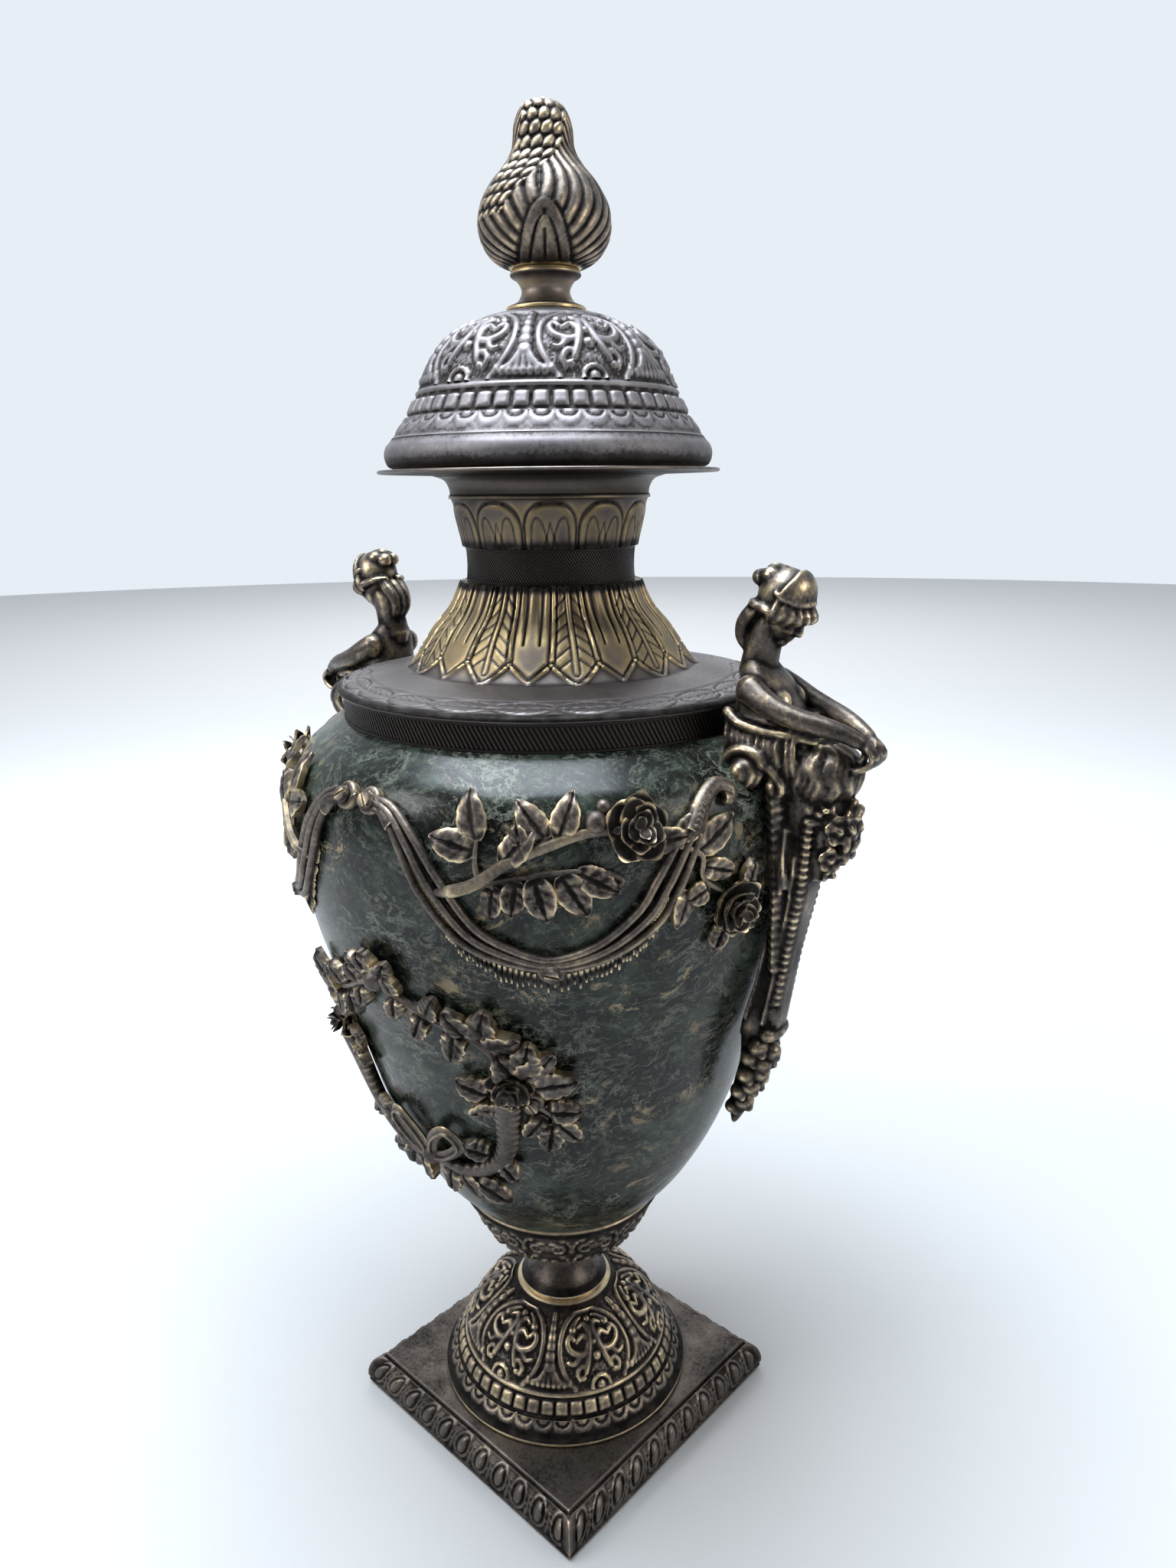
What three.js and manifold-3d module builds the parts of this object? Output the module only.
// Lidded mantel urn: a green marble body in a mounted-bronze setting, on a square plinth.
// Millimetres, +Z up, origin under the middle of the plinth. The front faces -Y and the two
// figure handles stand on +X and -X.
import * as THREE from 'three';
import { mergeVertices } from 'three/addons/utils/BufferGeometryUtils.js';
import Module from 'manifold-3d';

const wasm = await Module();
wasm.setup();

const DEG = Math.PI / 180;

// Driving dimensions
const GAP = 0.3;                 // clearance between pieces that touch
const PLINTH_SIDE = 162;         // outer side of the square plinth
const PLINTH_PANEL = 147;        // side of its raised panel
const PLINTH_EDGE = 9;           // height of the plain vertical edge
const PLINTH_TOP = 19;           // height of the panel
const PLINTH_TURN = -5 * DEG;    // the plinth sits a little off square to the handles
const EGGS_PER_SIDE = 9;
const DOME_SCALE = 0.96;         // the foot dome is the lid's dome, slightly smaller
const DOME_BAYS = 6;             // cartouches round each dome
const STEM_TOP = 103;
const BODY_FOOT = 140;           // where the marble leaves the base cup
const BODY_TOP = 399;
const MARBLE_WALL = 13;
const COLLAR_R = 99.8;
const COVER_R = 102.5;           // rim of the shoulder cover
const NECK_R = 39.5;             // the hatched band round the neck
const NECK_BORE = 33;
const PLATE_R = 78.4;            // thin plate that the lid rests on
const PLATE_Z = 508;
const PLATE_THICK = 1.6;
const LID_Z = PLATE_Z + PLATE_THICK + GAP;
const LID_TOP = 576.5;
const FINIAL_Z = 593.5;
const TOTAL_H = 660;
const LEAF_COUNT = 10;           // veined leaves round the shoulder cone
const PETAL_COUNT = 11;          // lotus petals round the neck
const SWAG_CENTRE = 39.4;        // degrees from the front to the middle of a swag
const BODY_SEGS = 28;
const DOME_SEGS = 24;
const REST = 0.7;                // how far the mounts' undersides stand off the marble's outline
const SHOULDER_REST = 1.5;       // the same where the shoulder turns in
const SHOULDER_Z = 355;

// Materials
const bronze = new THREE.MeshStandardMaterial({ color: 0x4a4034, roughness: 0.42, metalness: 0.9 });
const brass = new THREE.MeshStandardMaterial({ color: 0x76643f, roughness: 0.38, metalness: 0.95 });
const hatched = new THREE.MeshStandardMaterial({ color: 0x25241f, roughness: 0.5, metalness: 0.8 });
const marble = new THREE.MeshStandardMaterial({ color: 0x24332b, roughness: 0.2, metalness: 0 });

const urn = new THREE.Group();

function addMesh(name, solid, material, parent = urn) {
  const mesh = new THREE.Mesh(toGeometry(solid), material);
  mesh.name = name;
  parent.add(mesh);
  return mesh;
}

// A closed geometry becomes a solid, with its faces turned outwards.
function toSolid(geometry) {
  const bare = new THREE.BufferGeometry();
  bare.setAttribute('position', geometry.getAttribute('position').clone());
  const count = bare.getAttribute('position').count;
  bare.setIndex(geometry.index ? geometry.index.clone() : [...Array(count).keys()]);
  const merged = mergeVertices(bare, 1e-3);
  const pos = merged.getAttribute('position');
  const index = merged.index.array;
  const tris = [];
  let volume = 0;
  const [a, b, c] = [new THREE.Vector3(), new THREE.Vector3(), new THREE.Vector3()];
  for (let i = 0; i < index.length; i += 3) {
    const [p, q, r] = [index[i], index[i + 1], index[i + 2]];
    if (p === q || q === r || r === p) continue;
    tris.push([p, q, r]);
    a.fromBufferAttribute(pos, p);
    b.fromBufferAttribute(pos, q);
    c.fromBufferAttribute(pos, r);
    volume += a.dot(b.cross(c)) / 6;
  }
  const flat = tris.flatMap((t) => (volume < 0 ? [t[0], t[2], t[1]] : t));
  return new wasm.Manifold(new wasm.Mesh({
    numProp: 3,
    vertProperties: new Float32Array(pos.array),
    triVerts: new Uint32Array(flat),
  }));
}

function toGeometry(solid) {
  const mesh = solid.getMesh();
  const geometry = new THREE.BufferGeometry();
  geometry.setAttribute('position', new THREE.BufferAttribute(new Float32Array(mesh.vertProperties), 3));
  geometry.setIndex(new THREE.BufferAttribute(new Uint32Array(mesh.triVerts), 1));
  return geometry;
}

const join = (solids) => solids.reduce((sum, s) => sum.add(s));

// Turned piece: outline [[radius, height], ...] round the Z axis. The outline starts and ends
// on the axis, or is closed here. carve(angle, radius, height) gives a change of radius.
function turned(outline, segs, carve = null) {
  const pts = outline.map(([r, z]) => new THREE.Vector2(r, z));
  if (outline[0][0] > 0) pts.push(pts[0].clone());
  const geometry = new THREE.LatheGeometry(pts, segs);
  const pos = geometry.getAttribute('position');
  for (let i = 0; i < pos.count; i++) {
    const [x, h, y] = [pos.getX(i), pos.getY(i), pos.getZ(i)];
    let r = Math.hypot(x, y);
    const angle = Math.round(Math.atan2(x, y) / (2 * Math.PI) * segs) / segs * 2 * Math.PI;
    if (carve && r > 1e-6) r += carve(angle, r, h);
    pos.setXYZ(i, r * Math.sin(angle), -r * Math.cos(angle), h);
  }
  return toSolid(geometry);
}

// A body made from stations along a path: each station gives the ring of section points.
function swept(sides, steps, ringPoint, centrePoint) {
  const geometry = new THREE.CylinderGeometry(1, 1, 1, sides, steps);
  const pos = geometry.getAttribute('position');
  for (let i = 0; i < pos.count; i++) {
    const s = pos.getY(i) + 0.5;
    const [x, y] = [pos.getX(i), pos.getZ(i)];
    const p = Math.hypot(x, y) < 0.5 ? centrePoint(s) : ringPoint(s, Math.atan2(x, y));
    pos.setXYZ(i, p.x, p.y, p.z);
  }
  return toSolid(geometry);
}

// Smooth value through a few [position, value...] stations
function curveThrough(stations) {
  const curve = new THREE.CatmullRomCurve3(
    stations.map(([u, v, w = 0]) => new THREE.Vector3(u, v, w)), false, 'centripetal');
  return (s) => curve.getPoint(THREE.MathUtils.clamp(s, 0, 1));
}

function lump(x, y, z, rx, ry, rz, ws = 8, hs = 5) {
  const geometry = new THREE.SphereGeometry(1, ws, hs);
  geometry.rotateX(Math.PI / 2).scale(rx, ry, rz).translate(x, y, z);
  return toSolid(geometry);
}

// Outline of the marble: radius at a height
const BODY_OUTLINE = [
  [55, 140], [70.5, 160], [84, 185], [93.5, 210], [102, 240], [110.5, 270], [119, 300],
  [124, 326], [126, 350], [125, 370], [119, 385], [108, 394], [101, 399],
];

function bodyRadius(z) {
  const last = BODY_OUTLINE.length - 1;
  for (let i = 0; i < last; i++) {
    const [[r0, z0], [r1, z1]] = [BODY_OUTLINE[i], BODY_OUTLINE[i + 1]];
    if (z <= z1 || i === last - 1) return r0 + (r1 - r0) * (z - z0) / (z1 - z0);
  }
  return BODY_OUTLINE[last][0];
}

// Point on the marble: azimuth from the front in degrees, height, and distance off the surface
function onBody(az, z, off = 0) {
  const slope = (bodyRadius(z + 4) - bodyRadius(z - 4)) / 8;
  const n = 1 / Math.hypot(1, slope);
  const r = bodyRadius(z) + off * n;
  return new THREE.Vector3(r * Math.sin(az * DEG), -r * Math.cos(az * DEG), z - off * slope * n);
}

// Point near a place on the marble, by millimetres along (s) and up (t) the surface
function nearBody(az, z, s, t, off) {
  const slope = (bodyRadius(z + 4) - bodyRadius(z - 4)) / 8;
  return onBody(az + s / bodyRadius(z) / DEG, z + t / Math.hypot(1, slope), off);
}

const restAt = (z) => (z > SHOULDER_Z ? SHOULDER_REST : REST);

// Plinth: stepped square slab with an egg border
function makePlinth() {
  const half = PLINTH_SIDE / 2;
  const panel = PLINTH_PANEL / 2;
  const columns = EGGS_PER_SIDE * 2;
  // rings of the slab from the underside up: [inset from the outer edge, height, egg relief]
  const rings = [
    [0, 0, 0], [0, PLINTH_EDGE, 0], [1.6, PLINTH_EDGE + 3.5, 1.3], [half - panel - 0.6, PLINTH_TOP - 1.6, 0],
    [half - panel, PLINTH_TOP, 0],
  ];
  const ringPoint = (s, angle) => {
    const [inset, z, relief] = rings[Math.round(s * (rings.length - 1))];
    const turn = ((angle / (2 * Math.PI)) % 1 + 1) % 1 * 4;
    const side = Math.floor(turn + 1e-6) % 4;
    const k = Math.round((turn - Math.floor(turn + 1e-6)) * columns);
    const egg = k % 2 === 1 ? relief : 0;
    const p = new THREE.Vector2((k / columns * 2 - 1) * (half - inset), -(half - inset + egg));
    p.rotateAround(new THREE.Vector2(), side * Math.PI / 2);
    return new THREE.Vector3(p.x, p.y, z);
  };
  const centre = (s) => new THREE.Vector3(0, 0, s < 0.5 ? 0 : PLINTH_TOP);
  return swept(columns * 4, rings.length - 1, ringPoint, centre);
}

// Relief of a dome's bays: a raised pilaster between cartouches with arched rims
function domeRelief(low, high, scale = 1) {
  return (angle, r, z) => {
    if (z < low || z > high) return 0;
    const bay = 360 / DOME_BAYS;
    const a = Math.abs((((angle / DEG) % bay) + bay) % bay - bay / 2);
    return scale * (a > 25 ? 1.6 : a > 10 ? -0.2 : 0.8);
  };
}

// Outside of the dome above its moulded rim: [radius, height above the rim]
const DOME_OUTLINE = [
  [70.8, 0], [64.6, 8.6], [59, 18.2], [57, 20.5], [53.6, 30], [48.8, 37], [41.5, 43.6], [30.5, 49],
];

function makeFootDome() {
  const base = PLINTH_TOP + GAP;
  const shell = DOME_OUTLINE.map(([r, h]) => [r * DOME_SCALE, base + 2.4 + h * DOME_SCALE]);
  const outline = [[0, base], [67.7, base], [68.4, base + 2.2], ...shell, [24.6, 72.2], [0, 72.2]];
  return turned(outline, DOME_SEGS, domeRelief(base + 24, base + 45));
}

function makeFootStem() {
  const z0 = 72.2 + GAP;
  return turned([
    [0, z0], [23.8, z0], [24, z0 + 1.2], [17.6, 80], [13.6, 86], [12.4, 92], [13.4, 97.5],
    [17.8, 101.2], [18.2, STEM_TOP - GAP], [0, STEM_TOP - GAP],
  ], 18);
}

function makeBaseCup() {
  const scallop = (angle, r, z) => (z > 108 && z < 132 && r > 40 ? 0.9 * Math.cos(12 * angle) : 0);
  return turned([
    [0, STEM_TOP], [22, STEM_TOP], [24, STEM_TOP + 2], [32, 106.5], [41, 112], [47.5, 125],
    [54.4, 138], [53.4, BODY_FOOT - GAP], [0, BODY_FOOT - GAP],
  ], 24, scallop);
}

function makeMarbleBody() {
  const floor = BODY_FOOT + 16;
  const inside = BODY_OUTLINE.filter(([, z]) => z > floor + 10 && z < 394)
    .filter((_, i) => i % 2 === 0).map(([r, z]) => [r - MARBLE_WALL, z]).reverse();
  return turned([
    [0, BODY_FOOT], ...BODY_OUTLINE, [101 - MARBLE_WALL, BODY_TOP], ...inside,
    [52, floor], [0, floor],
  ], BODY_SEGS);
}

function makeRing(radius, bore, low, high, segs) {
  return turned([[bore, low], [radius, low], [radius, high], [bore, high]], segs);
}

// Leaves rising round the shoulder cone
function coneRelief(angle, r) {
  if (r < 44 || r > 68) return 0;
  const k = Math.round(angle / (2 * Math.PI) * LEAF_COUNT * 3);
  return [0.8, -0.4, -0.4][((k % 3) + 3) % 3];
}

const COVER_OUTLINE = [
  [COVER_R - 1, 411.3], [COVER_R, 412.8], [99.5, 415], [70, 421], [66, 424],
  [56.6, 438], [48, 448.5], [42.6, 460],
];

function makeShoulderCover() {
  const inside = [[COVER_R - 14, 411.3], [64, 418], [44.8, 446], [37, 460]];
  return turned([...COVER_OUTLINE, ...inside.reverse()], LEAF_COUNT * 3, coneRelief);
}

function makeNeckFlare() {
  const petals = (angle, r, z) => {
    if (r < 40.5 || z < 478 || z > 498) return 0;
    return 0.5 * Math.cos(PETAL_COUNT * angle);
  };
  const base = 475.6 + GAP;
  return turned([
    [NECK_BORE, base], [41, base], [42, 480.5], [44.4, 491], [46.2, 501], [49.5, PLATE_Z - 1.4],
    [PLATE_R, PLATE_Z], [PLATE_R, PLATE_Z + PLATE_THICK], [45, PLATE_Z + PLATE_THICK],
    [42.2, 499], [38, 484],
  ], PETAL_COUNT * 2, petals);
}

function makeLid() {
  const shell = DOME_OUTLINE.map(([r, h]) => [r, 523 + h]);
  const outside = [
    [70, LID_Z], [73.4, LID_Z + 2], [74.6, LID_Z + 6], [73.4, 521], ...shell,
    [17.7, LID_TOP], [0, LID_TOP],
  ];
  const inside = [[0, 565], [24, 564.5], [48, 550], [61, 524], [66, LID_Z]];
  return turned([...outside, ...inside], DOME_SEGS, (angle, r, z) => (
    r > 29 && z > 545 && z < 571 ? domeRelief(545, 571)(angle, r, z) * (r > 46 || z > 565 ? 1 : 0.7) : 0));
}

function makeFinialSpool() {
  const z0 = LID_TOP + GAP;
  return turned([
    [0, z0], [17.7, z0], [17.4, z0 + 1.6], [12.4, 580.5], [10.7, 585], [13, 589.6],
    [15.6, 591.4], [15.2, FINIAL_Z - GAP], [0, FINIAL_Z - GAP],
  ], 16);
}

// Flame finial: swelling body of twisted leaves drawn in to a rounded tip
function makeFinial() {
  const twisted = (angle, r, z) => (r < 6 ? 0
    : 0.055 * r * Math.cos(5 * (angle - (z - FINIAL_Z) / 26)) - 0.02 * r);
  return turned([
    [0, FINIAL_Z], [14.5, FINIAL_Z], [23, 598], [27.8, 605], [29, 612], [27.6, 619.5], [23, 627.5],
    [17, 634.5], [13.4, 641], [12, 650], [9, 657], [0, TOTAL_H],
  ], 20, twisted);
}

// Leaf lying on the marble: base at (az, z), pointing along a heading (0 = up, 90 = +azimuth)
function bodyLeaf([az, z, heading, length, width], rise = 3) {
  const blade = [[0, 0], [1, 0.45], [0, 1]].map(([x, y]) => new THREE.Vector2(x, y));
  const geometry = new THREE.LatheGeometry(blade, 4);
  const pos = geometry.getAttribute('position');
  const [c, s] = [Math.cos(heading * DEG), Math.sin(heading * DEG)];
  for (let i = 0; i < pos.count; i++) {
    const along = pos.getY(i) * length;
    const across = pos.getX(i) * width / 2;
    const off = restAt(z) + 0.8 + pos.getZ(i) * (pos.getZ(i) > 0 ? rise : 0.5);
    const p = nearBody(az, z, along * s + across * c, along * c - across * s, off);
    pos.setXYZ(i, p.x, p.y, p.z);
  }
  return toSolid(geometry);
}

// Stem or ribbon on the marble along [az, z] stations; section is a list of [across, off] corners
function bodyStrand(stations, section, steps, taper = () => 1) {
  const path = curveThrough(stations);
  const frame = (s) => {
    const p = path(s);
    const d = path(s + 0.01).sub(path(s - 0.01));
    const along = new THREE.Vector2(d.x * DEG * bodyRadius(p.y), d.y).normalize();
    return { p, along };
  };
  const ringPoint = (s, angle) => {
    const k = Math.round(((angle / (2 * Math.PI)) % 1 + 1) % 1 * section.length) % section.length;
    const { p, along } = frame(s);
    const w = section[k][0] * taper(s);
    return nearBody(p.x, p.y, -along.y * w, along.x * w, restAt(p.y) + section[k][1] * taper(s));
  };
  return swept(section.length, steps, ringPoint, (s) => onBody(path(s).x, path(s).y, restAt(path(s).y) + 1));
}

// Low flower or knot standing on the marble
function bodyLump(az, z, radius, height) {
  return bodyTurned(az, z, [[0, REST], [radius, REST], [radius * 0.72, height * 0.75], [0, height]], 6);
}

// Small turned piece standing on the marble: outline [[radius, distance off the surface], ...]
function bodyTurned(az, z, outline, segs) {
  const geometry = new THREE.LatheGeometry(outline.map(([x, y]) => new THREE.Vector2(x, y)), segs);
  const base = onBody(az, z, 0);
  const out = onBody(az, z, 1).sub(base).normalize();
  const turn = new THREE.Quaternion().setFromUnitVectors(new THREE.Vector3(0, 1, 0), out);
  geometry.applyMatrix4(new THREE.Matrix4().compose(base, turn, new THREE.Vector3(1, 1, 1)));
  return toSolid(geometry);
}

const STEM = [[-2, 0], [2, 0], [0, 3]];
const RIBBON = [[-6, 0.2], [6, 0.2], [0, 3.6]];
const HORN = [[-5, 0], [5, 0], [4, 4.5], [-4, 4.5]];
const BOSS_R = 4.6;
const BOSS_H = 4.8;
const SCREW_R = 3.7;
const SCREW_H = 1.9;

const bodyBoss = (az, z, radius, low, high) => bodyTurned(
  az, z, [[0, low], [radius, low], [radius * 0.92, high], [0, high]], 6);
const screwHead = (az, z) => bodyBoss(az, z, SCREW_R, BOSS_H + GAP, BOSS_H + GAP + SCREW_H);

// Swag of ribbon with a rose branch across it; side +1 hangs right of the front, -1 left
const SWAG_PATH = [
  [-36.1, 380.5], [-31, 376], [-26.5, 364], [-21, 345], [-12, 325], [-0.7, 319],
  [10.5, 325], [20, 345], [26, 364], [31, 377], [36.6, 383],
];
const SWAG_SCREWS = [[-36.1, 380], [-0.7, 317.5]];
const SWAG_STEMS = [
  [[-19.9, 348.5], [-10, 356], [0, 367], [14, 376]],
  [[20, 368], [27, 361], [28, 350], [36, 338]],
];
// leaves: which stem, how far along it, heading, length, width
const SWAG_LEAVES = [
  [0, 0.14, -58, 27, 14], [0, 0.26, -8, 33, 13], [0, 0.5, -30, 28, 13], [0, 0.68, 26, 25, 12],
  [0, 0.3, 174, 27, 14], [0, 0.56, 164, 36, 14], [1, 0.4, 34, 28, 12], [1, 0.62, 196, 28, 12],
];
const SWAG_ROSES = [[15, 374, 12, 9], [35.5, 334, 12, 8.5]];

function makeSwag(side) {
  const placed = (stations) => stations.map(([a, z]) => [side * (SWAG_CENTRE + a), z]);
  const solids = [bodyStrand(placed(SWAG_PATH), RIBBON, 10)];
  for (const stem of SWAG_STEMS) solids.push(bodyStrand(placed(stem), STEM, 3));
  for (const [stem, along, heading, length, width] of SWAG_LEAVES) {
    const root = curveThrough(placed(SWAG_STEMS[stem]))(along);
    solids.push(bodyLeaf([root.x, root.y, side * heading, length, width]));
  }
  for (const [a, z, radius, height] of SWAG_ROSES) {
    solids.push(bodyLump(side * (SWAG_CENTRE + a), z, radius, height));
  }
  for (const [a, z] of placed(SWAG_SCREWS)) solids.push(bodyBoss(a, z, BOSS_R, REST, BOSS_H));
  return join(solids);
}

// Wreath: two flower-filled horns tied by a bow, with leaf sprays meeting above
const WREATH_HORN = [[0, 201], [10, 198], [20, 205], [26, 220], [28, 252]];
const WREATH_VINE = [[29, 256], [23, 279], [12, 289], [0, 300]];
const WREATH_SPRAY = [[29, 256], [33.4, 247.5], [39, 238]];
const WREATH_STEMS = [WREATH_HORN, WREATH_VINE, WREATH_SPRAY];
// leaves on the horn (0), the vine (1) or the spray (2), as on the swags
const WREATH_LEAVES = [
  [1, 0.04, 66, 36, 13], [2, 0.8, 88, 18, 10], [2, 0.97, 168, 18, 10], [1, 0.42, -50, 22, 13], [1, 0.3, 30, 24, 13],
  [1, 0.7, 4, 20, 11], [0, 0.3, 146, 26, 12], [0, 0.12, 12, 34, 11],
];
const WREATH_SCREW = [33.4, 247.5];
const WREATH_KNOTS = [[0, 201, 9, 7], [0, 301, 9, 7]];
const WREATH_ROSE = [29, 257, 8.4, 10];

function makeWreath() {
  const solids = WREATH_KNOTS.map((knot) => bodyLump(...knot));
  for (const side of [1, -1]) {
    const placed = (stations) => stations.map(([a, z]) => [side * a, z]);
    solids.push(bodyStrand(placed(WREATH_HORN), HORN, 4, (s) => 0.55 + 0.6 * s));
    solids.push(bodyStrand(placed(WREATH_VINE), STEM, 3), bodyStrand(placed(WREATH_SPRAY), STEM, 2));
    solids.push(bodyLump(side * WREATH_ROSE[0], ...WREATH_ROSE.slice(1)));
    for (const [stem, along, heading, length, width] of WREATH_LEAVES) {
      const root = curveThrough(placed(WREATH_STEMS[stem]))(along);
      solids.push(bodyLeaf([root.x, root.y, side * heading, length, width], 3.8));
    }
    solids.push(bodyBoss(side * WREATH_SCREW[0], WREATH_SCREW[1], BOSS_R, REST, BOSS_H));
  }
  return join(solids);
}

// Tube of the figure along [outward, across, up, radius] stations
function limb(stations, sides, steps, flat = 1) {
  const path = curveThrough(stations);
  const size = curveThrough(stations.map(([, , , r], i) => [i, r]));
  const ringPoint = (s, angle) => {
    const d = path(s + 0.02).sub(path(s - 0.02)).normalize();
    const up = Math.abs(d.z) > 0.8 ? new THREE.Vector3(1, 0, 0) : new THREE.Vector3(0, 0, 1);
    const across = new THREE.Vector3().crossVectors(d, up).normalize();
    const lift = new THREE.Vector3().crossVectors(across, d);
    const r = size(s).y;
    return path(s).addScaledVector(across, r * flat * Math.sin(angle)).addScaledVector(lift, r * Math.cos(angle));
  };
  return swept(sides, steps, ringPoint, path);
}

// Box-like stack of level sections: [height, back, front, half width]
function stack(levels, sides = 8) {
  const at = (s) => levels[Math.round(s * (levels.length - 1))];
  const ringPoint = (s, angle) => {
    const [z, back, front, half] = at(s);
    const round = (v) => Math.sign(v) * Math.abs(v) ** 0.75;
    return new THREE.Vector3(
      (back + front) / 2 + (front - back) / 2 * round(Math.cos(angle)), half * round(Math.sin(angle)), z);
  };
  return swept(sides, levels.length - 1, ringPoint, (s) => new THREE.Vector3((at(s)[1] + at(s)[2]) / 2, 0, at(s)[0]));
}

// Handle: a bowed bust over a scrolled bracket, a tapering shaft and a drop of buds.
// Modelled on +X: x is outward from the urn's axis, y across, z up.
function makeHandle() {
  const offBody = (z) => bodyRadius(z) + REST;
  const offRim = COVER_R + REST;
  const solids = [
    // shaft, bracket and bust in one run: [height, back, front, half width]
    stack([
      [260, offBody(260), 130, 8], [270, offBody(270), 131, 10], [300, offBody(300), 135.5, 10],
      [326, offBody(326), 142, 12], [350, offBody(350), 146, 14], [370, offBody(370), 148, 16],
      [385, offBody(385), 148, 21], [394, offBody(394), 145, 23], [400, offRim, 141, 23],
      [413, offRim, 138, 20], [423, offRim + 1.5, 131, 21], [434, 107, 121, 9.5],
    ], 8),
    // fleece and the rose cluster under the hands
    stack([[343, 138, 151, 6], [352, 138, 163, 10], [371, 138, 167, 12], [386, 135, 165, 18], [401, 135, 157, 13]], 7),
    // drop of buds
    stack([[210, 106, 110, 2.5], [219, 101, 115, 7], [232, 103.5, 121, 9], [240, 107, 122, 6.5],
      [251, 110, 130, 9.5], [263, 112, 129, 8]], 6),
    lump(127, 0, 457.5, 15.5, 13, 14.5, 8, 5),
    lump(132.5, 0, 445.5, 7, 7.6, 8.6, 6, 4),
    lump(119.5, 0, 466, 8.4, 8, 6.4, 6, 4),
    limb([[112, 0, 430, 9], [114, 0, 440, 7.4], [121, 0, 452, 7.4]], 6, 2),
  ];
  for (const side of [1, -1]) {
    solids.push(
      limb([[113, side * 17, 424, 7.4], [132, side * 18, 412, 6], [152, side * 11, 406, 4.8],
        [165, side * 5, 401, 5], [160, side * 5, 391, 4]], 4, 4),
      lump(129.5, side * 22, 384, 11, 7, 11, 7, 4),
      limb([[133, side * 18, 380, 4.4], [133, side * 18, 362, 5.4], [133, side * 15, 345, 3]], 4, 2),
    );
  }
  return join(solids);
}

// The whole urn
const plinthGroup = new THREE.Group();
plinthGroup.rotation.z = PLINTH_TURN;
urn.add(plinthGroup);
addMesh('plinth', makePlinth(), bronze, plinthGroup);
addMesh('foot_dome', makeFootDome(), bronze);
addMesh('foot_stem', makeFootStem(), bronze);
addMesh('base_cup', makeBaseCup(), bronze);
addMesh('marble_body', makeMarbleBody(), marble);
addMesh('body_collar', makeRing(COLLAR_R, 88, BODY_TOP + GAP, 411, BODY_SEGS), hatched);
addMesh('shoulder_cover', makeShoulderCover(), bronze);
addMesh('neck_band', makeRing(NECK_R, NECK_BORE, 460 + GAP, 475.6, 22), hatched);
addMesh('neck_flare', makeNeckFlare(), brass);
addMesh('lid', makeLid(), bronze);
addMesh('finial_spool', makeFinialSpool(), brass);
addMesh('finial', makeFinial(), bronze);

const handle = makeHandle();
const wreath = makeWreath();
const swags = { right: makeSwag(1), left: makeSwag(-1) };
for (const [face, turn] of [['front', 0], ['back', Math.PI]]) {
  const half = new THREE.Group();
  half.rotation.z = turn;
  urn.add(half);
  addMesh(face === 'front' ? 'handle_right' : 'handle_left', handle, bronze, half);
  addMesh(`wreath_${face}`, wreath, bronze, half);
  for (const [hand, side] of [['right', 1], ['left', -1]]) {
    addMesh(`swag_${face}_${hand}`, swags[hand], bronze, half);
    SWAG_SCREWS.forEach(([a, z], i) => {
      const place = i === 0 ? 'end' : 'low';
      addMesh(`screw_${face}_${hand}_${place}`, screwHead(side * (SWAG_CENTRE + a), z), brass, half);
    });
    addMesh(`screw_${face}_${hand}_wreath`, screwHead(side * WREATH_SCREW[0], WREATH_SCREW[1]), brass, half);
  }
}

export default urn;
